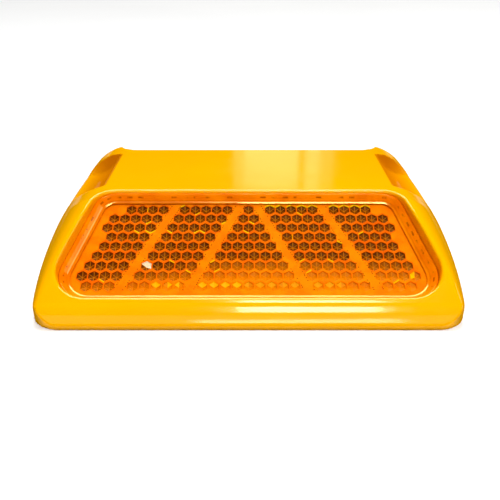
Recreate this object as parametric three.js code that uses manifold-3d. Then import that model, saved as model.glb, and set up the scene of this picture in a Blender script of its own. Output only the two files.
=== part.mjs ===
// Raised pavement marker, two-way, with a finger grip in each side.
//
// A hollow moulded shell has a flat deck, a sloped face towards each direction of traffic and
// upright flanks with round shoulders. Each sloped face has a window for an amber lens, a tray whose
// back carries rows of six-sided reflecting prisms. A backing plate with four diagonal ribs closes
// the prisms into dry cells, a ring of sealant joins the lens flange to the shell, and potting
// compound fills the shell down to a grooved base plate.
//
// Millimetres, +Z up. X runs along the lenses, Y along the road, and the front lens faces -Y.
// The origin is the centre of the underside.

import * as THREE from "three";
import { mergeVertices } from "three/addons/utils/BufferGeometryUtils.js";
import Module from "manifold-3d";

const wasm = await Module();
wasm.setup();

// Driving dimensions of the shell.
const WIDTH = 103.2;
const DEPTH = 101.6;
const HEIGHT = 19.05;
const SLOPE = THREE.MathUtils.degToRad(27);
const DECK_HALF_DEPTH = 16.2;
const CHEEK_RISE = 1.1;
const CHEEK_CROWN = 2;
const SHOULDER_RADIUS = 15;
const BASE_SHOULDER_RADIUS = 0.3;
const SHOULDER_EASE = 1.5;
const FLANK_BOW = 3;
const FLANK_DRAFT = THREE.MathUtils.degToRad(0.5);
const CORNER_RADIUS = 6;
const LIP_WIDTH = 4;
const LIP_DROP = 1.5;
const WALL = 1.8;

// Driving dimensions of a finger grip, a trough with rounded ends cut into a shoulder.
const GRIP_RADIUS = 13.0;
const GRIP_AXIS_X = 50;
const GRIP_FLOOR_Z = 11.8;
const GRIP_STRAIGHT_HALF = 12;
const GRIP_END_LENGTH = 3.0;

// Driving dimensions of a lens window and of the backing plate behind it. Both flare outwards down
// the slope. top and bottom are distances down the slope from the deck's edge, and side is how far
// the sides stand in from the window's.
const WINDOW_TOP_HALF_WIDTH = 38.2;
const WINDOW_FLARE = Math.atan(0.274);
const WINDOW = { top: 0.4, bottom: 32.35, side: 0, topRadius: 5.5, bottomRadius: 7.5 };
const BACKING = { top: 2, bottom: 29.6, side: 2.4, topRadius: 4.5, bottomRadius: 3.5 };

// Driving dimensions of a lens. Depths are measured inwards from the sloped face.
const LENS_RIM_DEPTH = 0.25;
const LENS_RIM_WIDTH = 0.35;
const LENS_FACE_DEPTH = 2.3;
const LENS_FACE_INSET = 2.1;
const LENS_BACK_DEPTH = 3.5;
const FLANGE_WIDTH = 0.8;
const SEAL_THICKNESS = 0.5;

// Driving dimensions of the prism rows.
const PRISM_ROWS = 9;
const PRISM_PITCH = 2.74;
const ROW_PITCH = 2.87;
const FIRST_ROW = 4.35;
const PRISM_HALF_WIDTH = 1.14;
const PRISM_HALF_HEIGHT = 1.26;
const PRISM_DEPTH = 0.7;
const FIELD_HALF_WIDTH = 32.8;
const FIELD_FLARE = 0.29;
const FIELD_CORNER = 27.8;
const RIB_COLUMNS = [1, 7];

// Driving dimensions of the pieces behind the lens and under the shell.
const BACKING_RIM_WIDTH = 0.9;
const BACKING_TOP_DEPTH = 4.6;
const BACKING_THICKNESS = 0.8;
const RIB_WIDTH = 1.2;
const POTTING_BOTTOM = 0.3;
const POTTING_HALF_DEPTH = 43;
const BASE_HALF_WIDTH = 44;
const BASE_HALF_DEPTH = 37.5;
const BASE_THICKNESS = 1.2;
const BASE_PLATE_CORNER_RADIUS = 6;
const GROOVE_WIDTH = 1.6;
const GROOVE_DEPTH = 0.5;
const GROOVE_PITCH = 11;
const CLEARANCE = 0.3;

// Values worked out from the ones above.
const LIP_START = DEPTH / 2 - LIP_WIDTH;
const SEAL_TOP_DEPTH = WALL + CLEARANCE;
const SEAL_BOTTOM_DEPTH = SEAL_TOP_DEPTH + SEAL_THICKNESS;
const FLANGE_TOP_DEPTH = SEAL_BOTTOM_DEPTH + CLEARANCE;
const BACKING_BOTTOM_DEPTH = BACKING_TOP_DEPTH + BACKING_THICKNESS;
const GRIP_AXIS_Z = GRIP_FLOOR_Z + GRIP_RADIUS;
const SMALLEST_RADIUS = 0.4; // of a rounding inside the shell
const PAST = 3; // how far a cutter runs past the face it cuts through

const ARC_STEPS = 6;
const LIP_STEPS = 3;
const DECK_STEPS = 2;
const CROWN_STEPS = 6;
const GRIP_FACETS = 40;

// ---------------------------------------------------------------- solids

function toSolid(geometry) {
  const bare = geometry.clone();
  bare.deleteAttribute("normal");
  bare.deleteAttribute("uv");
  const merged = mergeVertices(bare, 1e-4);
  const mesh = new wasm.Mesh({
    numProp: 3,
    vertProperties: new Float32Array(merged.attributes.position.array),
    triVerts: new Uint32Array(merged.index.array),
  });
  return new wasm.Manifold(mesh);
}

function toGeometry(solid) {
  const mesh = solid.getMesh();
  const geometry = new THREE.BufferGeometry();
  geometry.setAttribute("position", new THREE.BufferAttribute(mesh.vertProperties, 3));
  geometry.setIndex(new THREE.BufferAttribute(mesh.triVerts, 1));
  geometry.computeVertexNormals();
  return geometry;
}

// A closed skin over a stack of convex outlines that all have the same number of points. The
// outlines run anticlockwise seen from above and are given from the lowest to the highest.
function loft(outlines) {
  const count = outlines[0].length;
  const corners = outlines.flat().flatMap((point) => [point.x, point.y, point.z]);
  const top = count * (outlines.length - 1);
  const faces = [];
  for (let level = 0; level < outlines.length - 1; level += 1) {
    for (let i = 0; i < count; i += 1) {
      const a = level * count + i;
      const b = level * count + ((i + 1) % count);
      faces.push(a, b, b + count, a, b + count, a + count);
    }
  }
  for (let i = 1; i < count - 1; i += 1) {
    faces.push(0, i + 1, i, top, top + i, top + i + 1);
  }
  const geometry = new THREE.BufferGeometry();
  geometry.setAttribute("position", new THREE.Float32BufferAttribute(corners, 3));
  geometry.setIndex(faces);
  return geometry;
}

// ---------------------------------------------------------------- outlines

// Points round a row of corner arcs, each given as [centre x, centre y, radius, start angle, end angle].
function cornerPoints(corners) {
  return corners.flatMap(([x, y, radius, start, end]) =>
    new THREE.EllipseCurve(x, y, radius, radius, start, end, false).getPoints(ARC_STEPS),
  );
}

// A level outline made of four corner arcs joined by straight edges.
function cornerOutline(corners, z) {
  return cornerPoints(corners).map((point) => new THREE.Vector3(point.x, point.y, z));
}

function roundedRectangle(halfX, halfY, radius, z) {
  const quarter = Math.PI / 2;
  const x = halfX - radius;
  const y = halfY - radius;
  const corners = [
    [x, -y, radius, -quarter, 0],
    [x, y, radius, 0, quarter],
    [-x, y, radius, quarter, 2 * quarter],
    [-x, -y, radius, 2 * quarter, 3 * quarter],
  ];
  return cornerOutline(corners, z);
}

// A flared outline, drawn in by inset, in the sloped face's own frame: x along the lens, y up the
// slope from the deck's edge, z outwards. The corner centres stay put and only the radii change.
function flaredOutline(form, inset, depth) {
  const cornerCentre = (edge, radius, towards) => {
    const distance = edge + towards * radius;
    const flare = (distance - WINDOW.top) * Math.tan(WINDOW_FLARE);
    const sideways = (form.side + radius) / Math.cos(WINDOW_FLARE);
    return [WINDOW_TOP_HALF_WIDTH + flare - sideways, -distance];
  };
  const [topX, topY] = cornerCentre(form.top, form.topRadius, 1);
  const [lowX, lowY] = cornerCentre(form.bottom, form.bottomRadius, -1);
  const topRadius = form.topRadius - inset;
  const lowRadius = form.bottomRadius - inset;
  const quarter = Math.PI / 2;
  const side = WINDOW_FLARE;
  const corners = [
    [lowX, lowY, lowRadius, -quarter, side],
    [topX, topY, topRadius, side, quarter],
    [-topX, topY, topRadius, quarter, Math.PI - side],
    [-lowX, lowY, lowRadius, Math.PI - side, 3 * quarter],
  ];
  return cornerOutline(corners, -depth);
}

// A block with a flared outline, between two depths below the sloped face.
function flaredBlock(form, inset, topDepth, bottomDepth) {
  return toSolid(loft([flaredOutline(form, inset, bottomDepth), flaredOutline(form, inset, topDepth)]));
}

// ---------------------------------------------------------------- the body's outer form

// Half the body's width on the straight part of its leaning flanks, at a height z and at a distance y
// from its middle. The flanks bow inwards towards the front and rear edges.
function flankHalfWidth(y, z, inset) {
  const bowed = WIDTH / 2 - FLANK_BOW * (y / (DEPTH / 2)) ** 2;
  return bowed - z * Math.tan(FLANK_DRAFT) - inset / Math.cos(FLANK_DRAFT);
}

// Height of the body's top at a distance from its middle: the deck, a crowned slope that stands rise
// above the plane of the lens, and a lip that curls down to the base's edge.
function topHeight(y, inset, rise, crown) {
  const slope = HEIGHT + (rise - inset) / Math.cos(SLOPE) - (y - DECK_HALF_DEPTH) * Math.tan(SLOPE);
  const downSlope = THREE.MathUtils.clamp((y - DECK_HALF_DEPTH) / (LIP_START - DECK_HALF_DEPTH), 0, 1);
  const overLip = Math.max(0, y - LIP_START) / LIP_WIDTH;
  const curved = slope + crown * Math.sin(Math.PI * downSlope) - LIP_DROP * overLip ** 2;
  return Math.min(HEIGHT - inset, curved);
}

// Radius of the round shoulders, which grow tighter as the top falls towards the base.
function shoulderRadius(top) {
  const share = Math.max(0, top / HEIGHT) ** SHOULDER_EASE;
  return BASE_SHOULDER_RADIUS + (SHOULDER_RADIUS - BASE_SHOULDER_RADIUS) * share;
}

// The body's cross-section at one place along the road: leaning flanks, round shoulders, flat top.
function bodySection(y, inset, rise, crown) {
  const top = topHeight(Math.abs(y), inset, rise, crown);
  const radius = Math.max(SMALLEST_RADIUS, shoulderRadius(top) - inset);
  const axisZ = top - radius;
  const axisX = flankHalfWidth(y, axisZ, inset) - radius / Math.cos(FLANK_DRAFT);
  const foot = flankHalfWidth(y, -HEIGHT, inset);
  const shoulders = cornerPoints([
    [axisX, axisZ, radius, FLANK_DRAFT, Math.PI / 2],
    [-axisX, axisZ, radius, Math.PI / 2, Math.PI - FLANK_DRAFT],
  ]);
  const outline = [{ x: foot, y: -HEIGHT }, ...shoulders, { x: -foot, y: -HEIGHT }];
  return outline.map((point) => new THREE.Vector3(point.x, y, point.y));
}

// Where the deck meets the slope, as a distance from the body's middle.
function deckEnd(inset, rise, crown) {
  let low = 0;
  let high = LIP_START;
  for (let halving = 0; halving < 30; halving += 1) {
    const middle = (low + high) / 2;
    if (topHeight(middle, inset, rise, crown) < HEIGHT - inset) {
      high = middle;
    } else {
      low = middle;
    }
  }
  return low;
}

// The body without its grips and windows, drawn in by inset on every side but the bottom.
function bodyBlock(inset, bottom, rise, crown) {
  const stations = [];
  const addStations = (start, end, steps) => {
    for (let step = 0; step < steps; step += 1) {
      stations.push(start + ((end - start) * step) / steps);
    }
  };
  addStations(0, deckEnd(inset, rise, crown), DECK_STEPS);
  addStations(deckEnd(inset, rise, crown), LIP_START, CROWN_STEPS);
  addStations(LIP_START, DEPTH / 2, LIP_STEPS);
  stations.push(DEPTH / 2);
  const alongRoad = [...stations.toReversed(), ...stations.slice(1).map((y) => -y)];
  const sections = toSolid(loft(alongRoad.map((y) => bodySection(y, inset, rise, crown))));
  const plan = [bottom, HEIGHT + PAST].map((z) => planOutline(z, inset));
  return toSolid(loft(plan)).intersect(sections);
}

// The body's outline seen from above, which rounds its corners. Between them it stands just clear of
// the bowed flanks.
function planOutline(z, inset) {
  const cornerY = DEPTH / 2 - CORNER_RADIUS;
  const halfWidth = flankHalfWidth(cornerY, z, inset);
  const widest = 2 * flankHalfWidth(0, z, inset) - halfWidth;
  const outline = roundedRectangle(halfWidth, DEPTH / 2 - inset, CORNER_RADIUS - inset, z);
  const half = outline.length / 2;
  const quarter = half / 2;
  outline.splice(quarter + half, 0, new THREE.Vector3(-widest, 0, z));
  outline.splice(quarter, 0, new THREE.Vector3(widest, 0, z));
  return outline;
}

// The space that a fingertip takes in one shoulder, grown by margin. side is 1 for +X and -1 for -X.
function gripCutter(side, margin) {
  const radius = GRIP_RADIUS + margin;
  const endLength = GRIP_END_LENGTH + margin;
  const quarterEllipse = (start, end, centre) => {
    const curve = new THREE.EllipseCurve(0, centre, radius, endLength, start, end, false);
    return curve.getPoints(ARC_STEPS);
  };
  const profile = [
    ...quarterEllipse(-Math.PI / 2, 0, -GRIP_STRAIGHT_HALF),
    ...quarterEllipse(0, Math.PI / 2, GRIP_STRAIGHT_HALF),
  ];
  profile[0].x = 0;
  profile[profile.length - 1].x = 0;
  const trough = new THREE.LatheGeometry(profile, GRIP_FACETS);
  trough.translate(side * GRIP_AXIS_X, 0, GRIP_AXIS_Z);
  return toSolid(trough);
}

// The body with both grips cut out, drawn in by inset on every side but the bottom.
function grippedBlock(inset, bottom, rise, crown) {
  return bodyBlock(inset, bottom, rise, crown).subtract(gripCutter(1, inset)).subtract(gripCutter(-1, inset));
}

// The hollow inside the shell, drawn in by a further margin.
function hollowBlock(margin, bottom) {
  return grippedBlock(WALL + margin, bottom, 0, 0);
}

// ---------------------------------------------------------------- placing on the sloped faces

// A frame on one sloped face: x along the lens, y up the slope, z outwards, origin at the deck's edge.
// The rear face is the front one turned half round.
function facePlacement(facing) {
  const turn = new THREE.Group();
  turn.rotation.z = facing === "front" ? 0 : Math.PI;
  const face = new THREE.Group();
  face.position.set(0, -DECK_HALF_DEPTH, HEIGHT);
  face.rotation.x = SLOPE;
  turn.add(face);
  turn.updateMatrixWorld(true);
  return { turn, face };
}

function placeOnFace(solid, facing) {
  const { face } = facePlacement(facing);
  return solid.transform(face.matrixWorld.toArray());
}

const FACINGS = ["front", "rear"];

function cutFromBothFaces(body, cutter) {
  return FACINGS.reduce((cut, facing) => cut.subtract(placeOnFace(cutter, facing)), body);
}

// The part of a piece in the front face's frame that fits inside the hollow of the shell.
function trimToHollow(solid) {
  const { face } = facePlacement("front");
  const hollow = hollowBlock(CLEARANCE, 0);
  return solid.intersect(hollow.transform(face.matrixWorld.clone().invert().toArray()));
}

// ---------------------------------------------------------------- the pieces

function shellGeometry() {
  const casing = grippedBlock(0, 0, CHEEK_RISE, CHEEK_CROWN).subtract(hollowBlock(0, -PAST));
  return toGeometry(cutFromBothFaces(casing, flaredBlock(WINDOW, 0, -PAST, WALL + PAST)));
}

// One reflecting prism: a six-sided pyramid with its point away from the lens.
function prismSolid(x, distance) {
  const prism = new THREE.ConeGeometry(1, PRISM_DEPTH, 6);
  prism.rotateX(-Math.PI / 2);
  const cornerToFlat = Math.cos(Math.PI / 6);
  prism.scale(PRISM_HALF_WIDTH / cornerToFlat, PRISM_HALF_HEIGHT, 1);
  prism.translate(x, -distance, -LENS_BACK_DEPTH - PRISM_DEPTH / 2);
  return toSolid(prism);
}

// Centres of the prisms, as [x, distance down the slope]. Odd rows are shifted by half a pitch, and
// two columns on each side, which lean outwards down the slope, are left free for the ribs.
function prismCentres() {
  const centres = [];
  for (let row = 0; row < PRISM_ROWS; row += 1) {
    const distance = FIRST_ROW + row * ROW_PITCH;
    const reach = FIELD_HALF_WIDTH + distance * FIELD_FLARE;
    const limit = Math.min(reach, FIELD_CORNER + distance);
    for (let column = (row % 2) / 2; column * PRISM_PITCH <= limit; column += 1) {
      const x = column * PRISM_PITCH;
      if (RIB_COLUMNS.includes(column - row / 2)) {
        continue;
      }
      centres.push([x, distance]);
      if (x > 0) {
        centres.push([-x, distance]);
      }
    }
  }
  return centres;
}

// A tray: a flat face sunk in a sloping rim, a flange that reaches behind the edge of the window, and
// the prisms on its back.
function lensGeometry() {
  const rim = flaredBlock(WINDOW, CLEARANCE, LENS_RIM_DEPTH, LENS_BACK_DEPTH);
  const flange = flaredBlock(WINDOW, -FLANGE_WIDTH, FLANGE_TOP_DEPTH, LENS_BACK_DEPTH);
  const mouthInset = CLEARANCE + LENS_RIM_WIDTH;
  const recess = toSolid(
    loft([
      flaredOutline(WINDOW, LENS_FACE_INSET, LENS_FACE_DEPTH),
      flaredOutline(WINDOW, mouthInset, LENS_RIM_DEPTH),
      flaredOutline(WINDOW, mouthInset, -PAST),
    ]),
  );
  const tray = rim.add(trimToHollow(flange)).subtract(recess);
  const prisms = prismCentres().map(([x, distance]) => prismSolid(x, distance));
  return toGeometry(wasm.Manifold.union([tray, ...prisms]));
}

// A bar that leans outwards down the slope, over the column that the prisms leave free.
function ribSolid(column, side) {
  const lean = Math.atan(PRISM_PITCH / 2 / ROW_PITCH);
  const middleRow = (PRISM_ROWS - 1) / 2;
  const middle = FIRST_ROW + middleRow * ROW_PITCH;
  const height = BACKING_TOP_DEPTH - LENS_BACK_DEPTH - CLEARANCE + BACKING_THICKNESS / 2;
  const bar = new THREE.BoxGeometry(RIB_WIDTH, WINDOW.bottom - WINDOW.top, height);
  bar.rotateZ(side * lean);
  const depth = LENS_BACK_DEPTH + CLEARANCE + height / 2;
  bar.translate(side * PRISM_PITCH * (column + middleRow / 2), -middle, -depth);
  return toSolid(bar);
}

// A plate with a rim and four diagonal ribs that meet the lens and split the prisms into dry cells.
function backingPlateGeometry() {
  const topDepth = LENS_BACK_DEPTH + CLEARANCE;
  const block = flaredBlock(BACKING, 0, topDepth, BACKING_BOTTOM_DEPTH);
  const pocket = flaredBlock(BACKING, BACKING_RIM_WIDTH, topDepth - PAST, BACKING_TOP_DEPTH);
  const ribs = RIB_COLUMNS.flatMap((column) => [ribSolid(column, 1), ribSolid(column, -1)]);
  const ribsInside = wasm.Manifold.union(ribs).intersect(block);
  return toGeometry(block.subtract(pocket).add(ribsInside));
}

// A flat ring of sealant between the lens flange and the inside of the shell.
function sealGeometry() {
  const ring = flaredBlock(WINDOW, -FLANGE_WIDTH, SEAL_TOP_DEPTH, SEAL_BOTTOM_DEPTH);
  const opening = flaredBlock(WINDOW, 0, SEAL_TOP_DEPTH - PAST, SEAL_BOTTOM_DEPTH + PAST);
  return toGeometry(trimToHollow(ring).subtract(opening));
}

// The hardened filling, which takes up the inside of the shell around the other pieces.
function pottingGeometry() {
  const lensRoom = flaredBlock(WINDOW, -FLANGE_WIDTH - CLEARANCE, -PAST, LENS_BACK_DEPTH + CLEARANCE);
  const backingRoom = flaredBlock(BACKING, -CLEARANCE, -PAST, BACKING_BOTTOM_DEPTH + CLEARANCE);
  const baseRoom = baseBlock(CLEARANCE, -PAST, BASE_THICKNESS + CLEARANCE);
  const pouredWithin = toSolid(new THREE.BoxGeometry(WIDTH, 2 * POTTING_HALF_DEPTH, 2 * HEIGHT));
  const filling = hollowBlock(CLEARANCE, POTTING_BOTTOM).intersect(pouredWithin).subtract(baseRoom);
  return toGeometry(cutFromBothFaces(filling, lensRoom.add(backingRoom)));
}

function baseBlock(margin, bottom, top) {
  const outline = (z) =>
    roundedRectangle(BASE_HALF_WIDTH + margin, BASE_HALF_DEPTH + margin, BASE_PLATE_CORNER_RADIUS + margin, z);
  return toSolid(loft([outline(bottom), outline(top)]));
}

// A plate with crossing grooves underneath, which key it to the road adhesive.
function basePlateGeometry() {
  const grooves = [];
  const cutGroove = (alongX, offset) => {
    const length = 2 * (BASE_HALF_WIDTH + PAST);
    const size = alongX ? [length, GROOVE_WIDTH] : [GROOVE_WIDTH, length];
    const groove = new THREE.BoxGeometry(...size, 2 * GROOVE_DEPTH);
    groove.translate(alongX ? 0 : offset, alongX ? offset : 0, 0);
    grooves.push(toSolid(groove));
  };
  for (const [alongX, halfSpan] of [[true, BASE_HALF_DEPTH], [false, BASE_HALF_WIDTH]]) {
    for (let offset = GROOVE_PITCH / 2; offset < halfSpan - GROOVE_WIDTH; offset += GROOVE_PITCH) {
      cutGroove(alongX, offset);
      cutGroove(alongX, -offset);
    }
  }
  return toGeometry(baseBlock(0, 0, BASE_THICKNESS).subtract(wasm.Manifold.union(grooves)));
}

// ---------------------------------------------------------------- the assembly

const MATERIALS = {
  shell: { color: 0xffb800, roughness: 0.22, metalness: 0 },
  lens: { color: 0xff8200, roughness: 0.12, metalness: 0, transparent: true, opacity: 0.6 },
  backing: { color: 0xe08a20, roughness: 0.5, metalness: 0 },
  seal: { color: 0x3a3530, roughness: 0.7, metalness: 0 },
  potting: { color: 0x6e675c, roughness: 0.9, metalness: 0 },
  base: { color: 0x8a8378, roughness: 0.7, metalness: 0 },
};

function piece(name, geometry, finish) {
  const mesh = new THREE.Mesh(geometry, new THREE.MeshStandardMaterial(MATERIALS[finish]));
  mesh.name = name;
  return mesh;
}

const marker = new THREE.Group();
marker.add(piece("shell", shellGeometry(), "shell"));
marker.add(piece("potting_core", pottingGeometry(), "potting"));
marker.add(piece("base_plate", basePlateGeometry(), "base"));

const lens = lensGeometry();
const backingPlate = backingPlateGeometry();
const seal = sealGeometry();
for (const facing of FACINGS) {
  const { turn, face } = facePlacement(facing);
  face.add(piece(`${facing}_lens`, lens, "lens"));
  face.add(piece(`${facing}_backing_plate`, backingPlate, "backing"));
  face.add(piece(`${facing}_seal`, seal, "seal"));
  marker.add(turn);
}

export default marker;
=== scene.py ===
"""Raised pavement marker: the looks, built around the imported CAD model.

The glossy shell is the zero surface of a distance function, so that its window lips, finger grips and
base edge are truly rounded. Each lens is a clear amber tray over a field of six-sided prism cells.
The pieces inside the shell stay as the CAD nodes, with their own materials.

Sizes are in millimetres and are turned into metres as each mesh is made.
"""

import math
import random

import bmesh
import bpy
import numpy as np
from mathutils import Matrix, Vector


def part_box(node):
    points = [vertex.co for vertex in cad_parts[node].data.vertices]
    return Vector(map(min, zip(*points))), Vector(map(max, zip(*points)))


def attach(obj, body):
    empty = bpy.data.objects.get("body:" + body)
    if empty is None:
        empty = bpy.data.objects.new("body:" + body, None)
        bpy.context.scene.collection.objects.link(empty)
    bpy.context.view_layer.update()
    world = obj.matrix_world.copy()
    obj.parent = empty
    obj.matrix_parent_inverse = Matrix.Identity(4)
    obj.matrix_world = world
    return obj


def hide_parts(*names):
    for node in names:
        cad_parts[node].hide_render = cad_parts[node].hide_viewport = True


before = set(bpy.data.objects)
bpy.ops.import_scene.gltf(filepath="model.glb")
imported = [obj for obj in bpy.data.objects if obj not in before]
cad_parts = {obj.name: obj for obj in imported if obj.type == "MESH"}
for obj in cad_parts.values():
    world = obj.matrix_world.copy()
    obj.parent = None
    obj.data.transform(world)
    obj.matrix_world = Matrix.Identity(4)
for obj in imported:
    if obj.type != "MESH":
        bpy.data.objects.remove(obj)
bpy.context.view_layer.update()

MM = 0.001

# ---------------------------------------------------------------- driving dimensions, in millimetres

SHELL_LOW, SHELL_HIGH = (np.array(corner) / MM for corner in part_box("shell"))
WIDTH, DEPTH, HEIGHT = SHELL_HIGH - SHELL_LOW

# The shell, as in the CAD model.
SLOPE = math.radians(27)
DECK_HALF_DEPTH = 16.2
CHEEK_RISE = 1.1
CHEEK_CROWN = 2.0
SHOULDER_RADIUS = 15.0
BASE_SHOULDER_RADIUS = 0.3
SHOULDER_EASE = 1.5
FLANK_BOW = 3.0
FLANK_DRAFT = math.radians(0.5)
CORNER_RADIUS = 6.0
LIP_WIDTH = 4.0
LIP_DROP = 1.5
WALL = 1.8
GRIP_RADIUS = 13.0
GRIP_AXIS_X = 50.0
GRIP_FLOOR_Z = 11.8
GRIP_AXIS_Z = GRIP_FLOOR_Z + GRIP_RADIUS
GRIP_STRAIGHT_HALF = 12.0
GRIP_END_LENGTH = 3.0
WINDOW_TOP_HALF_WIDTH = 38.2
WINDOW_FLARE = math.atan(0.274)
WINDOW_TOP = 0.4
WINDOW_BOTTOM = 32.35
WINDOW_TOP_RADIUS = 5.5
WINDOW_BOTTOM_RADIUS = 7.5
WINDOW_CUT_DEPTH = 4.8

# Roundings that only the looks have.
LIP_ROUND = 0.8
GRIP_ROUND = 0.6
BASE_ROUND = 0.4
RIDGE_ROUND = 1.2
SHELL_CELL = 0.55  # spacing of the grid that the shell's surface is found on

# The lens tray. Depths are measured inwards from the lens plane, and insets from the window's outline.
TRAY_CLEARANCE = 0.06
TRAY_RIM_DEPTH = 0.45
TRAY_RIM_ROUND = 0.25
TRAY_FACE_DEPTH = 2.15
TRAY_FACE_INSET = 2.1
TRAY_FACE_THICKNESS = 0.3
TRAY_SKIRT_DEPTH = 3.4
TRAY_SKIRT_WIDTH = 1.2
ARC_STEPS = 14
# The fillet at the foot of the tray's band: how far short of the sunk face each step is, as
# (inset, depth).
BAND_FOOT = ((0.65, 0.5), (0.4, 0.22), (0.15, 0.06), (-0.2, 0))
BAND_LEVEL = 7  # which stretch of the tray's profile is the long slope of its band

# The sheet of prism cells on the lens's back, in rows along the lens.
CELL_DEPTH = 2.6
CELL_FIELD_INSET = 1.5
CELL_FIELD_BOTTOM = 3.4
CELL_ROWS = 9
CELL_PITCH = 2.74
ROW_PITCH = 2.87
FIRST_ROW = 4.35
CELL_HALF_WIDTH = 1.2
CELL_HALF_HEIGHT = 1.42
CELL_BEVEL = 0.1
BEVEL_SCALE = 1.06  # the bevel's outer outline against the cell's mouth
FACET_SCALE = 0.9  # the facets' outer outline against the cell's mouth
CELL_WALL_DEPTHS = (0.25, 0.45)  # of the facets' outer corners below the sheet, in turn
CELL_APEX_DEPTH = 0.8
FIELD_HALF_WIDTH = 32.8
FIELD_FLARE = 0.29
FIELD_CORNER = 27.8
FIELD_REACH = 36  # half columns from the middle that are sure to be past the field's edge
SLIVER = 0.05  # a tile that reaches into the field by less than this is left out
RIB_COLUMNS = (1, 7)
# Cells with painted highlights: a white one over part of the first, a yellow one on two facets of the
# second.
WHITE_GLINT_CELL = (6, -9)  # row and column
BRIGHT_CELL = (7, 14.5)

# The fine dark dots in a line along each side of a rib.
DOT_SIZE = 0.17
DOT_LIFT = 0.02
DOT_HEIGHT = 0.08
DOT_PITCH = 0.62
DOT_LINE = 0.42 * CELL_PITCH  # distance of each line from the middle of the rib
DOT_WANDER = 0.15
DOT_GAPS = 0.3  # share of the dots that is missing
CHANCE_SEED = 5  # for the glints and the dots

# The order of the sheet's two materials, and the UVs of faces that have no spokes on them.
WALL_SLOT, FACET_SLOT = 0, 1
WALL_UV = ((0, 0),) * 6
DARK_UV = ((1, 1),) * 4

FLOOR_HALF_WIDTH = 40.0  # in metres


# ---------------------------------------------------------------- distance functions


def round_max(a, b, radius):
    """Where both distances meet, the sharp edge becomes an arc of that radius."""
    beyond = np.hypot(np.maximum(a + radius, 0), np.maximum(b + radius, 0))
    return np.minimum(np.maximum(a, b), -radius) + beyond


def round_min(a, b, radius):
    return -round_max(-a, -b, radius)


def flank_half_width(y, z, inset):
    """Half the body's width on its flanks, which lean inwards and bow in to the front and rear."""
    bowed = WIDTH / 2 - FLANK_BOW * (y / (DEPTH / 2)) ** 2
    return bowed - z * math.tan(FLANK_DRAFT) - inset / math.cos(FLANK_DRAFT)


def top_height(y, inset, rise, crown):
    """Height of the body's top at a distance y from its middle: deck, crowned slope and lip."""
    start = HEIGHT + (rise - inset) / math.cos(SLOPE)
    slope = start - (y - DECK_HALF_DEPTH) * math.tan(SLOPE)
    share = np.clip((y - DECK_HALF_DEPTH) / (DEPTH / 2 - LIP_WIDTH - DECK_HALF_DEPTH), 0, 1)
    slope = slope + crown * np.sin(math.pi * share)
    over_lip = np.maximum(0, y - (DEPTH / 2 - LIP_WIDTH)) / LIP_WIDTH
    return round_min(HEIGHT - inset, slope - LIP_DROP * over_lip**2, RIDGE_ROUND)


def shoulder_distance(x, y, z, inset, rise, crown):
    """Distance to the body's cross-section, which has leaning flanks and round shoulders."""
    top = top_height(y, inset, rise, crown)
    share = np.maximum(0, top / HEIGHT) ** SHOULDER_EASE
    radius = BASE_SHOULDER_RADIUS + (SHOULDER_RADIUS - BASE_SHOULDER_RADIUS) * share
    radius = np.maximum(0.4, radius - inset)
    axis_z = top - radius
    axis_x = flank_half_width(y, axis_z, inset) - radius / math.cos(FLANK_DRAFT)
    over_x = x - axis_x
    over_z = z - axis_z
    corner = np.hypot(np.maximum(over_x, 0), np.maximum(over_z, 0)) - radius
    flank = over_x * math.cos(FLANK_DRAFT) + over_z * math.sin(FLANK_DRAFT) - radius
    return np.where(over_z > over_x * math.tan(FLANK_DRAFT), corner, flank)


def plan_distance(x, y, z, inset):
    """Distance to the body's outline seen from above, which has round corners."""
    radius = CORNER_RADIUS - inset
    over_x = x - flank_half_width(y, z, inset) + radius
    over_y = y - DEPTH / 2 + inset + radius
    beyond = np.hypot(np.maximum(over_x, 0), np.maximum(over_y, 0))
    return beyond + np.minimum(np.maximum(over_x, over_y), 0) - radius


def grip_distance(x, y, z, margin):
    """Distance to the trough that a fingertip takes in a shoulder."""
    radius = GRIP_RADIUS + margin
    past = np.maximum(0, y - GRIP_STRAIGHT_HALF) * radius / (GRIP_END_LENGTH + margin)
    return np.sqrt((x - GRIP_AXIS_X) ** 2 + (z - GRIP_AXIS_Z) ** 2 + past**2) - radius


def window_half_width(down):
    return WINDOW_TOP_HALF_WIDTH + (down - WINDOW_TOP) * math.tan(WINDOW_FLARE)


def window_corner(edge, radius, towards):
    """Centre of a corner arc of the window, as (across, down)."""
    down = edge + towards * radius
    return window_half_width(down) - radius / math.cos(WINDOW_FLARE), down


WINDOW_CORNERS = (
    (*window_corner(WINDOW_TOP, WINDOW_TOP_RADIUS, 1), WINDOW_TOP_RADIUS, -1),
    (*window_corner(WINDOW_BOTTOM, WINDOW_BOTTOM_RADIUS, -1), WINDOW_BOTTOM_RADIUS, 1),
)


def window_distance(x, down):
    """Distance to a window's outline. down is the distance down the slope from the deck's edge."""
    side = (x - window_half_width(down)) * math.cos(WINDOW_FLARE)
    distance = np.maximum(side, np.maximum(WINDOW_TOP - down, down - WINDOW_BOTTOM))
    for centre_x, centre_down, radius, towards in WINDOW_CORNERS:
        over_x = x - centre_x
        over_down = down - centre_down
        leans = towards * (over_down + over_x * math.tan(WINDOW_FLARE)) > 0
        arc = np.hypot(over_x, over_down) - radius
        distance = np.where((over_x > 0) & leans, arc, distance)
    return distance


def window_cut_distance(x, y, z):
    down = (y - DECK_HALF_DEPTH) * math.cos(SLOPE) - (z - HEIGHT) * math.sin(SLOPE)
    height = (y - DECK_HALF_DEPTH) * math.sin(SLOPE) + (z - HEIGHT) * math.cos(SLOPE)
    return np.maximum(window_distance(x, down), -height - WINDOW_CUT_DEPTH)


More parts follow.
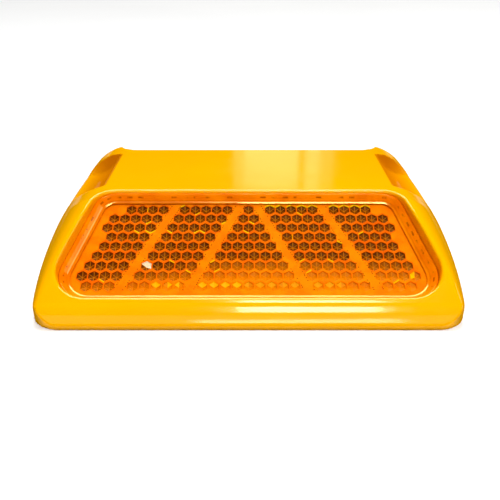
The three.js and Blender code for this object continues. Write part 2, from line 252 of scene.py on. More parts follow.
def shell_distance(points):
    """Distance to the shell's surface. The shell is the same on both sides, to the front and rear."""
    x = np.abs(points[..., 0])
    y = np.abs(points[..., 1])
    z = points[..., 2]
    shoulders = shoulder_distance(x, y, z, 0, CHEEK_RISE, CHEEK_CROWN)
    body = round_max(shoulders, plan_distance(x, y, z, 0), BASE_ROUND)
    body = round_max(body, -grip_distance(x, y, z, 0), GRIP_ROUND)
    body = round_max(body, -window_cut_distance(x, y, z), LIP_ROUND)
    hollow = np.maximum(shoulder_distance(x, y, z, WALL, 0, 0), plan_distance(x, y, z, WALL))
    hollow = np.maximum(hollow, -grip_distance(x, y, z, WALL))
    return np.maximum(np.maximum(body, -hollow), -z)


# ---------------------------------------------------------------- meshes


def ease(value, low, high):
    """Rises smoothly from 0 at low to 1 at high."""
    share = np.clip((value - low) / (high - low), 0, 1)
    return share * share * (3 - 2 * share)


def new_object(name, mesh, *materials):
    obj = bpy.data.objects.new(name, mesh)
    bpy.context.scene.collection.objects.link(obj)
    for material in materials:
        mesh.materials.append(material)
    return obj


def gradient(distance, points, step=0.02):
    parts = []
    for axis in range(3):
        offset = np.zeros(3)
        offset[axis] = step
        parts.append((distance(points + offset) - distance(points - offset)) / (2 * step))
    return np.stack(parts, axis=-1)


def settle(distance, points, reach, rounds=4):
    """Moves points onto the zero surface of a distance function, by no more than reach."""
    start = points.copy()
    for _ in range(rounds):
        slope = gradient(distance, points)
        steepness = np.maximum((slope**2).sum(-1, keepdims=True), 0.2)
        points = points - distance(points)[:, None] * slope / steepness
        points = start + np.clip(points - start, -reach, reach)
    return points


CUBE_CORNERS = [np.array([i, j, k]) for i in (0, 1) for j in (0, 1) for k in (0, 1)]


def at_corner(grid, corner):
    """What a grid holds at one corner of each of its cells."""
    i, j, k = corner
    count = np.array(grid.shape) - 1
    return grid[i : i + count[0], j : j + count[1], k : k + count[2]]


def mean_crossing(values, mixed):
    """The mean place where the surface crosses a cell's edges, for each mixed cell, as 0 to 1 each way."""
    total = np.zeros((mixed.sum(), 3))
    crossings = np.zeros((mixed.sum(), 1))
    for first in CUBE_CORNERS:
        for axis in range(3):
            if first[axis] == 1:
                continue
            second = first.copy()
            second[axis] = 1
            a = at_corner(values, first)[mixed]
            b = at_corner(values, second)[mixed]
            crosses = (a < 0) != (b < 0)
            share = np.where(crosses, a / np.where(crosses, a - b, 1), 0)
            point = first + share[:, None] * (second - first)
            total += np.where(crosses[:, None], point, 0)
            crossings += crosses[:, None]
    return total / crossings


def net_quads(inside, number):
    """A quad round each grid edge that the surface crosses, wound to face outwards."""
    count = number.shape
    quads = []
    for axis in range(3):
        across, up = (axis + 1) % 3, (axis + 2) % 3
        along = np.moveaxis(inside, axis, 0)
        changes = np.moveaxis(along[:-1] != along[1:], 0, axis)
        cells = np.argwhere(changes)
        cells = cells[(cells[:, across] > 0) & (cells[:, up] > 0)]
        cells = cells[(cells[:, across] < count[across]) & (cells[:, up] < count[up])]
        around = []
        for back_across, back_up in ((1, 1), (0, 1), (0, 0), (1, 0)):
            neighbour = cells.copy()
            neighbour[:, across] -= back_across
            neighbour[:, up] -= back_up
            around.append(number[tuple(neighbour.T)])
        quad = np.stack(around, axis=-1)
        leaves = inside[tuple(cells.T)]
        quads.append(np.where(leaves[:, None], quad, quad[:, ::-1]))
    return np.concatenate(quads)


def surface_net(distance, low, high, cell):
    """Vertices and quads of the zero surface of a distance function, found on a grid."""
    axes = [np.arange(a - 1.5 * cell, b + 2 * cell, cell) for a, b in zip(low, high)]
    values = distance(np.stack(np.meshgrid(*axes, indexing="ij"), axis=-1))
    inside = values < 0
    filled = sum(at_corner(inside, corner).astype(int) for corner in CUBE_CORNERS)
    mixed = (filled > 0) & (filled < len(CUBE_CORNERS))
    number = np.full(mixed.shape, -1)
    number[mixed] = np.arange(mixed.sum())
    origin = np.array([axis[0] for axis in axes])
    points = origin + cell * (np.argwhere(mixed) + mean_crossing(values, mixed))
    return settle(distance, points, 0.6 * cell), net_quads(inside, number)


def shell_tones(points, normals):
    """How far each point is in a finger grip, and how far it is on a flank or the base's edge: where shade
    is painted into the shell's colour.
    """
    x, y, z = np.abs(points[:, 0]), np.abs(points[:, 1]), points[:, 2]
    near_grip = 1 - np.abs(grip_distance(x, y, z, 0)) / GRIP_ROUND
    # The grips' mask, which sets both their matte finish and their painted shade.
    in_grip = ease(near_grip, 0, 0.5) * ease(GRIP_AXIS_X - x, 0, 9) ** 0.5
    off_shoulder = np.abs(shoulder_distance(x, y, z, 0, CHEEK_RISE, CHEEK_CROWN))
    off_outline = np.abs(plan_distance(x, y, z, 0))
    on_flank = 1 - ease(np.minimum(off_shoulder, off_outline), 0.2, 0.6)
    # Painted shade: the flanks darken as they face sideways, and the base's edge darkens near the floor.
    outwards = normals[:, 0] * np.sign(points[:, 0])
    turned = np.maximum(ease(outwards, 0.2, 0.75) * on_flank, ease(-z, -1.5, 0.2))
    return {"in_grip": in_grip, "turned": turned}


def shell_piece(material):
    points, quads = surface_net(shell_distance, SHELL_LOW, SHELL_HIGH, SHELL_CELL)
    mesh = bpy.data.meshes.new("shell_body")
    mesh.from_pydata((points * MM).tolist(), [], quads.tolist())
    normals = gradient(shell_distance, points)
    normals /= np.linalg.norm(normals, axis=1, keepdims=True)
    mesh.polygons.foreach_set("use_smooth", np.ones(len(quads), bool))
    mesh.normals_split_custom_set_from_vertices(normals.tolist())
    for attribute, values in shell_tones(points, normals).items():
        mesh.attributes.new(attribute, "FLOAT", "POINT").data.foreach_set("value", values)
    return new_object("shell_body", mesh, material)


# ---------------------------------------------------------------- the lenses


def face_points(across, down, height, facing):
    """Points, in metres, of places on a sloped face. facing is 1 for the front one, -1 for the rear."""
    out = DECK_HALF_DEPTH + down * math.cos(SLOPE) + height * math.sin(SLOPE)
    z = HEIGHT - down * math.sin(SLOPE) + height * math.cos(SLOPE)
    return np.stack([facing * across, -facing * out, z], axis=-1) * MM


def tray_outline(inset):
    """Points round a window's outline drawn in by inset, as (across, down)."""
    (top_x, top_y, top_radius, _), (low_x, low_y, low_radius, _) = WINDOW_CORNERS
    quarter = math.pi / 2
    side = WINDOW_FLARE
    corners = (
        (low_x, low_y, low_radius, -quarter, side),
        (top_x, top_y, top_radius, side, quarter),
        (-top_x, top_y, top_radius, quarter, math.pi - side),
        (-low_x, low_y, low_radius, math.pi - side, 3 * quarter),
    )
    points = []
    for x, y, radius, start, end in corners:
        reach = radius - inset
        for angle in np.linspace(start, end, ARC_STEPS + 1):
            points.append((x + reach * math.cos(angle), y - reach * math.sin(angle)))
    return np.array(points)


def tray_profile():
    """The tray's cross-section as (inset, depth), from its skirt over the rim to the sunk face."""
    face_bottom = TRAY_FACE_DEPTH + TRAY_FACE_THICKNESS
    corner = TRAY_RIM_ROUND * (1 - math.sqrt(0.5))
    rim_inset = TRAY_CLEARANCE + TRAY_RIM_ROUND
    outside = (
        (TRAY_FACE_INSET - 0.1, face_bottom),
        (TRAY_SKIRT_WIDTH + 0.1, face_bottom),
        (TRAY_SKIRT_WIDTH, TRAY_SKIRT_DEPTH),
        (TRAY_CLEARANCE, TRAY_SKIRT_DEPTH),
        (TRAY_CLEARANCE, TRAY_RIM_DEPTH + TRAY_RIM_ROUND),
        (TRAY_CLEARANCE + corner, TRAY_RIM_DEPTH + corner),
        (rim_inset, TRAY_RIM_DEPTH),
        (rim_inset + 0.2, TRAY_RIM_DEPTH + corner),
    )
    foot = ((TRAY_FACE_INSET - inset, TRAY_FACE_DEPTH - depth) for inset, depth in BAND_FOOT)
    return (*outside, *foot)


def lay_out_band(mesh, count):
    """Gives the tray's rings of faces UVs: distance round the window, and which ring of the profile."""
    outline = tray_outline(0)
    steps = np.linalg.norm(np.roll(outline, -1, axis=0) - outline, axis=1)
    along = np.concatenate([[0], np.cumsum(steps)])
    uv = mesh.uv_layers.new(name="band")
    for face_number, polygon in enumerate(mesh.polygons):
        if len(polygon.vertices) != 4:
            continue
        level, i = divmod(face_number, count)
        for loop, (u, v) in zip(polygon.loop_indices, ((i, 0), (i + 1, 0), (i + 1, 1), (i, 1))):
            uv.data[loop].uv = (along[u], level + v)


def tray_piece(name, facing, clear, band):
    """A closed tray of clear amber plastic, with an upright band round a sunk face."""
    rings = []
    for inset, depth in tray_profile():
        outline = tray_outline(inset)
        rings.append(face_points(outline[:, 0], outline[:, 1], np.full(len(outline), -depth), facing))
    count = len(rings[0])
    faces = []
    for level in range(len(rings) - 1):
        low = level * count
        high = low + count
        for i in range(count):
            j = (i + 1) % count
            faces.append((low + i, low + j, high + j, high + i))
    top = (len(rings) - 1) * count
    faces.append(tuple(range(top, top + count)))
    faces.append(tuple(reversed(range(count))))
    mesh = bpy.data.meshes.new(name)
    mesh.from_pydata(np.concatenate(rings).tolist(), [], faces)
    for polygon in mesh.polygons:
        on_ring = len(polygon.vertices) == 4
        polygon.use_smooth = on_ring
        polygon.material_index = 1 if on_ring else 0
    lay_out_band(mesh, count)
    return new_object(name, mesh, clear, band)


def is_cell(column, row):
    """True where the lattice has a prism. Odd rows have half-numbered columns."""
    if not 0 <= row < CELL_ROWS:
        return False
    down = FIRST_ROW + row * ROW_PITCH
    reach = min(FIELD_HALF_WIDTH + down * FIELD_FLARE, FIELD_CORNER + down)
    on_rib = abs(column) - row / 2 in RIB_COLUMNS
    return abs(column) * CELL_PITCH <= reach and not on_rib


def hexagon(half_width, half_height):
    """Corners of a hexagon with a corner at its top, as (across, down)."""
    x = half_width
    y = half_height
    return np.array([(0, -y), (-x, -y / 2), (-x, y / 2), (0, y), (x, y / 2), (x, -y / 2)])


def painted_light_of(column, row):
    """How far a cell is painted as lit through, from 0 for dark to 1. Only the lowest rows are, fewest at
    the left.
    """
    across = column * CELL_PITCH / FIELD_HALF_WIDTH
    start = 5.1 + 1.9 * max(0, -across - 0.1) + 0.9 * max(0, across - 0.6)
    return min(1, max(0, (row - start) / 2.0))


def field_distance(x, down):
    """Distance to the outline of the sheet of cells."""
    return window_distance(np.abs(x), down) + CELL_FIELD_INSET


class CellSheet:
    """The faces of a lens's back as they are added, each with its material, painted light, glint and UVs.

    Points are (across, down, height) on the sloped face, in millimetres.
    """

    def __init__(self):
        self.points = []
        self.tile_corners = {}
        self.faces = []
        self.slots = []
        self.painted_lights = []
        self.glints = []
        self.uvs = []

    def add_face(self, corners, slot, painted_light, uv, glint=0.0):
        self.faces.append(corners)
        self.slots.append(slot)
        self.painted_lights.append(painted_light)
        self.glints.append(glint)
        self.uvs.append(uv)

    def tile_corner(self, x, y):
        """The number of a tile's corner, which it shares with its neighbours."""
        key = (round(x / CELL_PITCH * 2), round((y - FIRST_ROW) / ROW_PITCH * 3))
        if key not in self.tile_corners:
            if field_distance(x, y) > 0:
                x, y = pull_inside(x, y)
            self.tile_corners[key] = len(self.points)
            self.points.append((x, y, -CELL_DEPTH))
        return self.tile_corners[key]

    def add_pit(self, centre, outer, column, row, chance):
        """One prism: a hexagonal mouth with a bevelled rim, and facets that run to an apex."""
        painted_light = painted_light_of(column, row)
        mouth = hexagon(CELL_HALF_WIDTH, CELL_HALF_HEIGHT)
        start = len(self.points)
        for corner in centre + mouth * BEVEL_SCALE:
            self.points.append((*corner, -CELL_DEPTH))
        for corner in centre + mouth:
            self.points.append((*corner, -CELL_DEPTH - CELL_BEVEL))
        for i, corner in enumerate(centre + mouth * FACET_SCALE):
            self.points.append((*corner, -CELL_DEPTH - CELL_WALL_DEPTHS[i % 2]))
        apex = len(self.points)
        self.points.append((*centre, -CELL_DEPTH - CELL_APEX_DEPTH))
        for i in range(6):
            j = (i + 1) % 6
            a, b, c = start + i, start + 6 + i, start + 12 + i
            d, e, f = start + j, start + 6 + j, start + 12 + j
            rim = rim_glint(column, row, i, chance.random())
            glint = pit_glint(column, row, i, chance.random())
            self.add_face((outer[i], outer[j], d, a), WALL_SLOT, painted_light, WALL_UV, rim)
            self.add_face((a, d, e, b), WALL_SLOT, painted_light, WALL_UV, rim)
            self.add_face((b, e, f, c), FACET_SLOT, painted_light, ((1.2, 0), (0, 1.2), (0, 1), (1, 0)), glint)
            self.add_face((c, f, apex), FACET_SLOT, painted_light, ((1, 0), (0, 1), (0, 0)), glint)

    def add_dot(self, x, y):
        """A low pyramid, just clear of the sheet."""
        start = len(self.points)
        for step_x, step_y in ((0, -1), (-1, 0), (0, 1), (1, 0)):
            self.points.append((x + DOT_SIZE * step_x, y + DOT_SIZE * step_y, DOT_LIFT - CELL_DEPTH))
        self.points.append((x, y, DOT_HEIGHT - CELL_DEPTH))
        for i in range(4):
            self.add_face((start + i, start + (i + 1) % 4, start + 4), FACET_SLOT, 0, DARK_UV)
        self.add_face((start + 3, start + 2, start + 1, start), FACET_SLOT, 0, DARK_UV)

    def build(self, name, facing):
        across, down, height = np.array(self.points).T
        mesh = bpy.data.meshes.new(name)
        mesh.from_pydata(face_points(across, down, height, facing).tolist(), [], self.faces)
        spokes = mesh.uv_layers.new(name="spokes")
        for polygon, corners in zip(mesh.polygons, self.uvs):
            for loop, corner in zip(polygon.loop_indices, corners):
                spokes.data[loop].uv = corner
        mesh.polygons.foreach_set("material_index", self.slots)
        for attribute, values in (("painted_light", self.painted_lights), ("glint", self.glints)):
            mesh.attributes.new(attribute, "FLOAT", "FACE").data.foreach_set("value", values)
        return mesh


def lay_tiles(sheet, chance):
    """Covers the field with hexagonal tiles, plain along the ribs and edges, elsewhere with a pit."""
    tile = hexagon(CELL_PITCH / 2, ROW_PITCH * 2 / 3)
    for row in range(-1, CELL_ROWS + 2):
        for half_column in range(-FIELD_REACH, FIELD_REACH + 1):
            if (half_column - row) % 2:
                continue
            column = half_column / 2
            centre = np.array([column * CELL_PITCH, FIRST_ROW + row * ROW_PITCH])
            corners = centre + tile
            if field_distance(corners[:, 0], corners[:, 1]).min() >= -SLIVER:
                continue
            outer = [sheet.tile_corner(*corner) for corner in corners]
            if is_cell(column, row):
                sheet.add_pit(centre, outer, column, row, chance)
            else:
                # Plain tiles are painted fully lit, so the ribs take the lighter orange.
                sheet.add_face(outer, WALL_SLOT, 1, WALL_UV)


def lay_dots(sheet, chance):
    """Strews dots along both sides of the ribs, which lean as the lattice does."""
    lean = CELL_PITCH / 2 / ROW_PITCH
    last = FIRST_ROW + (CELL_ROWS - 0.6) * ROW_PITCH
    for column in RIB_COLUMNS:
        for side in (-1, 1):
            for edge in (-DOT_LINE, DOT_LINE):
                for down in np.arange(FIRST_ROW - 1, last, DOT_PITCH):
                    if chance.random() < DOT_GAPS:
                        continue
                    wander = chance.uniform(-DOT_WANDER, DOT_WANDER)
                    middle = CELL_PITCH * column + (down - FIRST_ROW) * lean
                    sheet.add_dot(side * (middle + edge + wander), down + wander)


def cell_field_piece(name, facing, wall, facet):
    """The lens's back: a closed sheet with rows of prism pits and the dots along its ribs."""
    sheet = CellSheet()
    chance = random.Random(CHANCE_SEED)
    lay_tiles(sheet, chance)
    lay_dots(sheet, chance)
    mesh = sheet.build(name, facing)
    sunk = face_points(0, 0, CELL_DEPTH - CELL_FIELD_BOTTOM, facing)
    close_underneath(mesh, sunk - face_points(0, 0, 0, facing))
    return new_object(name, mesh, wall, facet)


def close_underneath(mesh, offset):
    """Carries the sheet's edge down by offset and closes it with a flat bottom."""
    work = bmesh.new()
    work.from_mesh(mesh)
    rim = [edge for edge in work.edges if edge.is_boundary]
    new = bmesh.ops.extrude_edge_only(work, edges=rim)["geom"]
    lowered = [part for part in new if isinstance(part, bmesh.types.BMVert)]
    bmesh.ops.translate(work, vec=Vector(offset), verts=lowered)
    bottom = [part for part in new if isinstance(part, bmesh.types.BMEdge) and part.is_boundary]
    bmesh.ops.edgeloop_fill(work, edges=bottom)
    bmesh.ops.recalc_face_normals(work, faces=work.faces)
    work.to_mesh(mesh)
    work.free()


def rim_glint(column, row, side, chance):
    """How brightly the wall on one side of a cell catches the light, from 0 to 1."""
    across = column * CELL_PITCH
    if row == 0 and side in (0, 5) and 4 < across < 38:
        return 0.9 if chance < 0.7 else 0.3
    if row in (1, 2) and side in (2, 3) and -30 < across < 5:
        return 0.9 if chance < 0.25 else 0.0
    return 0.7 if chance < 0.012 else 0.0


def pit_glint(column, row, side, chance):
    """How brightly one facet of a cell catches the light. 2 is the painted white glint of an air bubble."""
    if (row, column) == WHITE_GLINT_CELL and side in (4, 5, 0):
        return 2.0
    if (row, column) == BRIGHT_CELL and side in (0, 1):
        return 1.0
    if row == CELL_ROWS - 1 and side in (0, 5) and abs(column) < 9:
        return (1.0 if column < 0 else 0.5) if chance < 0.8 else 0.2
    return 0.0


def pull_inside(x, y, step=0.01, rounds=6):
    """The nearest place to (x, y) that is on the cell field's outline."""
    for _ in range(rounds):
        gap = field_distance(x, y)
        slope_x = (field_distance(x + step, y) - field_distance(x - step, y)) / (2 * step)
        slope_y = (field_distance(x, y + step) - field_distance(x, y - step)) / (2 * step)
        x, y = x - gap * slope_x, y - gap * slope_y
    return x, y


# ---------------------------------------------------------------- materials


class Nodes:
    """A material's node tree, with one short call for each kind of node that is used here."""

    def __init__(self, name):
        self.material = bpy.data.materials.new(name)
        self.material.use_nodes = True
        self.tree = self.material.node_tree
        self.tree.nodes.clear()
        self.output = self.tree.nodes.new("ShaderNodeOutputMaterial")

    def add(self, kind, inputs=(), **settings):
        node = self.tree.nodes.new(kind)
        for key, value in settings.items():
            setattr(node, key, value)
        for key, value in dict(inputs).items():
            self.feed(node.inputs[key], value)
        return node

    def feed(self, socket, value):
        if isinstance(value, bpy.types.NodeSocket):
            self.tree.links.new(value, socket)
        else:
            socket.default_value = value

    def position(self):
        return self.add("ShaderNodeTexCoord").outputs["Object"]

    def noise(self, scale, detail=3.0, roughness=0.5):
        inputs = {"Vector": self.position(), "Scale": scale, "Detail": detail, "Roughness": roughness}
        return self.add("ShaderNodeTexNoise", inputs).outputs["Fac"]

    def math(self, operation, a, b=0.0):
        return self.add("ShaderNodeMath", {0: a, 1: b}, operation=operation).outputs[0]

    def ramp(self, factor, low, high, to_low=0.0, to_high=1.0):
        inputs = {"Value": factor, "From Min": low, "From Max": high, "To Min": to_low, "To Max": to_high}
        return self.add("ShaderNodeMapRange", inputs, interpolation_type="SMOOTHSTEP").outputs["Result"]

    def mix(self, factor, a, b):
        node = self.add("ShaderNodeMix", data_type="RGBA")
        self.feed(node.inputs["Factor"], factor)
        self.feed(node.inputs["A"], a)
        self.feed(node.inputs["B"], b)
        return node.outputs["Result"]

    def bump(self, height, distance, strength=1.0):
        inputs = {"Height": height, "Distance": distance, "Strength": strength}
        return self.add("ShaderNodeBump", inputs).outputs["Normal"]

    def principled(self, **inputs):
        names = {key.replace("_", " "): value for key, value in inputs.items()}
        node = self.add("ShaderNodeBsdfPrincipled", names)
        return node.outputs["BSDF"]

    def blend(self, share, a, b):
        return self.add("ShaderNodeMixShader", {0: share, 1: a, 2: b}).outputs[0]

    def edge_on(self):
        """0 where a surface is seen straight on, 1 where it is seen edge-on."""
        return self.add("ShaderNodeLayerWeight", {"Blend": 0.5}).outputs["Facing"]

    def sheen_share(self, head_on):
        """Share of light that a smooth surface reflects, which rises as it is seen more edge-on."""
        rising = self.math("MULTIPLY", self.math("POWER", self.edge_on(), 5.0), 0.6)
        return self.math("ADD", rising, head_on)

    def amber_gloss(self, base, roughness, head_on):
        """Coloured plastic whose reflections are amber too, as they come from inside the lens."""
        dull = self.add("ShaderNodeBsdfDiffuse", {"Color": base}).outputs[0]
        tinted = {"Color": colour(1.0, 0.62, 0.2), "Roughness": roughness}
        gloss = self.add("ShaderNodeBsdfGlossy", tinted).outputs[0]
        return self.blend(self.sheen_share(head_on), dull, gloss)

    def finish(self, shader):
        self.tree.links.new(shader, self.output.inputs["Surface"])
        return self.material


def colour(red, green, blue):
    return (red, green, blue, 1.0)


def shell_material():
    """Glossy golden yellow plastic. It is duller in the grips, on the flanks and the base's edge, and where
    it is seen edge-on. Painted shade darkens its colour: a deeper orange in the grips, and browner where
    the flanks and the base's edge turn away from the light."""
    n = Nodes("shell_plastic")
    cloud = n.ramp(n.noise(35, 2), 0.3, 0.7)
    top = n.mix(cloud, colour(0.98, 0.425, 0.0), colour(1.0, 0.45, 0.0))
    turned = n.add("ShaderNodeAttribute", attribute_name="turned").outputs["Fac"]
    in_grip = n.add("ShaderNodeAttribute", attribute_name="in_grip").outputs["Fac"]
    # Painted shade: inside the grips the plastic takes a darker, deeper orange.
    grip = n.mix(cloud, colour(0.57, 0.165, 0.0), colour(0.64, 0.19, 0.0))
    # Painted shade: browner on the flanks and the base's edge, where the turned mask is high.
    base = n.mix(in_grip, n.mix(turned, top, colour(0.54, 0.25, 0.0)), grip)
    rough = n.ramp(n.noise(180, 3), 0.3, 0.7, 0.07, 0.12)
    ripple = n.bump(n.noise(90, 2), 0.00002, 0.4)
    gloss = n.principled(
        Base_Color=base,
        Roughness=rough,
        Normal=ripple,
        Specular_IOR_Level=0.4,
        Specular_Tint=colour(1.0, 0.88, 0.6),
    )
    dull = n.add("ShaderNodeBsdfDiffuse", {"Color": base, "Roughness": 0.4}).outputs[0]
    rim = n.ramp(n.edge_on(), 0.72, 0.9)
    dullness = n.math("MAXIMUM", n.math("MAXIMUM", in_grip, turned), rim)
    return n.finish(n.blend(dullness, gloss, dull))


def band_material():
    """The tray's upright band: deep amber, with painted dark flecks for the cells that it mirrors side-on,
    and a brighter polish along its foot."""
    n = Nodes("lens_band")
    uv = n.add("ShaderNodeUVMap", uv_map="band").outputs["UV"]
    split = n.add("ShaderNodeSeparateXYZ", {0: uv})
    along = n.math("FRACT", n.math("MULTIPLY", split.outputs["X"], 1 / ROW_PITCH))
    # Painted reflection of the cells: dark dashes, one for each row pitch along the band.
    dash = n.ramp(n.math("ABSOLUTE", n.math("SUBTRACT", along, 0.5)), 0.28, 0.2)
    across = n.math("ABSOLUTE", n.math("SUBTRACT", split.outputs["Y"], BAND_LEVEL + 0.55))
    painted_cell_reflection = n.math("MULTIPLY", dash, n.ramp(across, 0.2, 0.12))
    painted_cell_reflection = n.math("MULTIPLY", painted_cell_reflection, n.ramp(n.noise(420, 2), 0.42, 0.6))
    cloud = n.ramp(n.noise(150, 3), 0.35, 0.65)
    base = n.mix(cloud, colour(0.86, 0.17, 0.0), colour(1.0, 0.25, 0.0))
    base = n.mix(n.math("MULTIPLY", painted_cell_reflection, 0.7), base, colour(0.3, 0.04, 0.0))
    rough = n.ramp(n.noise(300, 2), 0.3, 0.7, 0.07, 0.11)
    polish = n.ramp(split.outputs["Y"], BAND_LEVEL + 1.0, BAND_LEVEL + 1.5, 0.035, 0.16)
    return n.finish(n.amber_gloss(base, rough, polish))


def clear_material():
    """Clear amber plastic, seen straight through but for its gloss."""
    n = Nodes("lens_clear")
    tint = n.mix(n.ramp(n.noise(60, 2), 0.3, 0.7), colour(1.0, 0.96, 0.86), colour(1.0, 0.98, 0.90))
    through = n.add("ShaderNodeBsdfTransparent", {"Color": tint}).outputs[0]
    gloss = n.add("ShaderNodeBsdfGlossy", {"Color": colour(1, 0.6, 0.2), "Roughness": 0.02}).outputs[0]
    return n.finish(n.blend(n.sheen_share(0.012), through, gloss))


def glinting(n, base):
    """Turns a colour to bright yellow on faces whose glint is 1, and to white where it is 2."""
    glint = n.add("ShaderNodeAttribute", attribute_name="glint").outputs["Fac"]
    base = n.mix(n.math("MINIMUM", glint, 1.0), base, colour(1.0, 0.62, 0.0))
    return n.mix(n.math("GREATER_THAN", glint, 1.5), base, colour(1.0, 0.98, 0.92))


def cell_wall_material():
    """The orange plastic along the ribs and, painted a deeper orange where less light comes through,
    between the dark cells.
    """
    n = Nodes("cell_walls")
    cloud = n.ramp(n.noise(260, 3, 0.6), 0.35, 0.65)
    painted_light = n.add("ShaderNodeAttribute", attribute_name="painted_light").outputs["Fac"]
    # Painted shade: walls between dark cells are a deeper orange than the ribs, which are painted fully
    # lit.
    deep = n.mix(cloud, colour(0.80, 0.12, 0.0), colour(0.88, 0.165, 0.0))
    base = n.mix(painted_light, deep, n.mix(cloud, colour(0.98, 0.20, 0.0), colour(1.0, 0.27, 0.0)))
    rough = n.ramp(n.noise(500, 2), 0.3, 0.7, 0.35, 0.5)
    return n.finish(n.amber_gloss(glinting(n, base), rough, 0.01))


def cell_facet_material():
    """The cell facets, painted dark for the dark camera they mirror straight back, with a paler painted
    reflection along each edge that runs to the apex.
    """
    n = Nodes("cell_facets")
    uv = n.add("ShaderNodeUVMap", uv_map="spokes").outputs["UV"]
    split = n.add("ShaderNodeSeparateXYZ", {0: uv})
    # The paler lines are a painted reflection of the facets' edges.
    nearest = n.math("MINIMUM", split.outputs["X"], split.outputs["Y"])
    line = n.ramp(nearest, 0.11, 0.03)
    painted_light = n.add("ShaderNodeAttribute", attribute_name="painted_light").outputs["Fac"]
    cloud = n.ramp(n.noise(900, 2), 0.35, 0.65)
    # Painted dark: the prisms show the dark camera that they mirror straight back.
    dark = n.mix(cloud, colour(0.10, 0.018, 0.0), colour(0.19, 0.04, 0.0))
    dark = n.mix(n.math("MULTIPLY", line, 0.8), dark, colour(0.66, 0.20, 0.0))
    # Painted light: the lowest cells go a lighter orange where light comes through them.
    base = n.mix(n.math("MULTIPLY", painted_light, 0.8), dark, colour(0.88, 0.26, 0.0))
    rough = n.ramp(n.noise(600, 2), 0.3, 0.7, 0.25, 0.35)
    return n.finish(n.amber_gloss(glinting(n, base), rough, 0.015))


def inner_material(name, pale, dark, scale, roughness, grain):
    """A plain material for the pieces inside, mottled and slightly rough."""
    n = Nodes(name)
    base = n.mix(n.ramp(n.noise(scale, 4, 0.6), 0.35, 0.65), colour(*dark), colour(*pale))
    rough = n.ramp(n.noise(scale * 3, 2), 0.3, 0.7, roughness - 0.08, roughness + 0.08)
    relief = n.bump(n.noise(scale * 5, 3), grain)
    return n.finish(n.principled(Base_Color=base, Roughness=rough, Normal=relief))


def floor_material():
    n = Nodes("studio_floor")
    base = n.mix(n.ramp(n.noise(6, 2), 0.3, 0.7), colour(0.93, 0.93, 0.93), colour(0.95, 0.95, 0.95))
    return n.finish(n.principled(Base_Color=base, Roughness=0.9, Specular_IOR_Level=0.1))


# ---------------------------------------------------------------- stage, lights and camera


def floor():
    """A floor wide enough for its far edge to be out of sight."""
    half = FLOOR_HALF_WIDTH
    corners = [(-half, -half, 0), (half, -half, 0), (half, half, 0), (-half, half, 0)]
    mesh = bpy.data.meshes.new("studio_floor")
    mesh.from_pydata(corners, [], [(0, 1, 2, 3)])
    obj = new_object("studio_floor", mesh, floor_material())


def aim(obj, direction):
    """Turns a light to shine along direction."""
    obj.rotation_mode = "QUATERNION"
    obj.rotation_quaternion = Vector(direction).to_track_quat("-Z", "Y")
    bpy.context.scene.collection.objects.link(obj)


def softbox(name, centre, target, width, height, radiance, tint=(1, 1, 1)):
    """A rectangular light of a given radiance that faces target. Lengths are in metres."""
    light = bpy.data.lights.new(name, "AREA")
    light.color = tint
    light.shape = "RECTANGLE"
    light.size = width
    light.size_y = height
    light.energy = radiance * math.pi * width * height
    obj = bpy.data.objects.new(name, light)
    obj.location = centre
    aim(obj, Vector(target) - Vector(centre))


def daylight(name, towards, strength):
    """A broad soft light from one direction, as strong on the far floor as on the near."""
    light = bpy.data.lights.new(name, "SUN")
    light.angle = math.radians(35)
    light.energy = strength
    aim(bpy.data.objects.new(name, light), -Vector(towards))


def lights():
    middle = (0, 0, 0)
    daylight("rear_top", (0, 1.15, 1.65), 2.5)
    softbox("front_top", (0, -1.45, 1.35), middle, 2.4, 0.9, 0.8)
    softbox("side_right", (1.9, 0, 0.9), middle, 0.8, 0.8, 3.6)
    # These two are mirrored in the rounded lip and in the foot of the lens's band.
    softbox("overhead_strip", (0.125, -0.4, 1.0), (0.125, -0.05, 0), 0.29, 0.26, 28)
    softbox("front_line", (0.12, -0.95, 0.95), middle, 0.5, 0.16, 12)
    # These are mirrored in the deck. Each has its left and right edge and its radiance.
    warm = (1.0, 0.95, 0.55)
    streaks = ((-0.036, -0.008, 0.8), (-0.008, 0.121, 1.65), (0.138, 0.172, 1.5), (0.172, 0.207, 0.6))
    for left, right, radiance in streaks:
        centre = ((left + right) / 2, 1.2, 0.38)
        softbox("rear_strip", centre, middle, right - left, 0.28, radiance, warm)


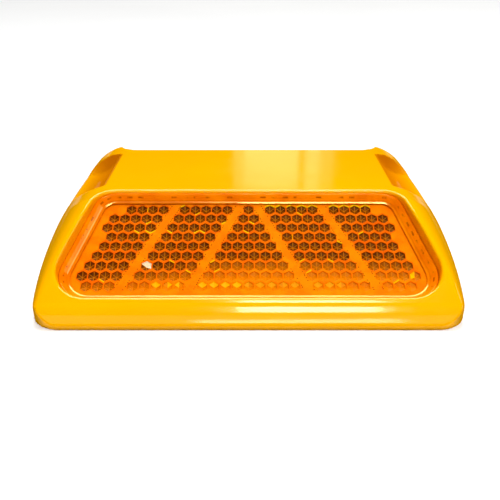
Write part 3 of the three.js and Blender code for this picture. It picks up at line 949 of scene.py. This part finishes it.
def backdrop():
    """A pale background, about as bright as the far floor, that sheds no light on the marker."""
    world = bpy.data.worlds.new("studio")
    world.use_nodes = True
    background = world.node_tree.nodes["Background"]
    background.inputs["Color"].default_value = colour(1, 1, 1)
    background.inputs["Strength"].default_value = 0.61
    world.cycles_visibility.diffuse = False
    world.cycles_visibility.glossy = False
    bpy.context.scene.world = world


def camera():
    """A camera in front of the marker that looks down at its front lens."""
    data = bpy.data.cameras.new("camera")
    data.sensor_width = 36
    data.lens = 42.18
    data.shift_x = 0.0028
    data.clip_start = 0.005
    obj = bpy.data.objects.new("camera", data)
    obj.location = Vector((0, -156.66, 77.44)) * MM
    obj.rotation_euler = (math.radians(90 - 28.39), 0, 0)
    bpy.context.scene.collection.objects.link(obj)
    bpy.context.scene.camera = obj
    bpy.context.scene.view_settings.view_transform = "Standard"


# ---------------------------------------------------------------- the assembly


def ride(obj, replaced):
    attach(obj, "root")
    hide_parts(replaced)


def inner_materials():
    """The materials of the CAD nodes inside the shell, by node."""
    potting = inner_material("potting", (0.2, 0.18, 0.15), (0.1, 0.09, 0.08), 300, 0.85, 0.0001)
    base = inner_material("base_plastic", (0.3, 0.28, 0.25), (0.22, 0.2, 0.18), 200, 0.7, 0.00005)
    backing = inner_material("backing_plastic", (0.9, 0.32, 0.03), (0.8, 0.25, 0.02), 250, 0.5, 0.00005)
    sealant = inner_material("sealant", (0.05, 0.045, 0.04), (0.03, 0.028, 0.025), 300, 0.6, 0.00005)
    return {
        "potting_core": potting,
        "base_plate": base,
        "front_backing_plate": backing,
        "rear_backing_plate": backing,
        "front_seal": sealant,
        "rear_seal": sealant,
    }


def main():
    ride(shell_piece(shell_material()), "shell")
    clear, band = clear_material(), band_material()
    wall, facet = cell_wall_material(), cell_facet_material()
    for facing, side in ((1, "front"), (-1, "rear")):
        ride(tray_piece(f"{side}_lens_tray", facing, clear, band), f"{side}_lens")
        cells = cell_field_piece(f"{side}_lens_prisms", facing, wall, facet)
        ride(cells, f"{side}_lens")
    for node, material in inner_materials().items():
        for material_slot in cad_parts[node].material_slots:
            material_slot.material = material
    floor()
    lights()
    backdrop()
    camera()


main()
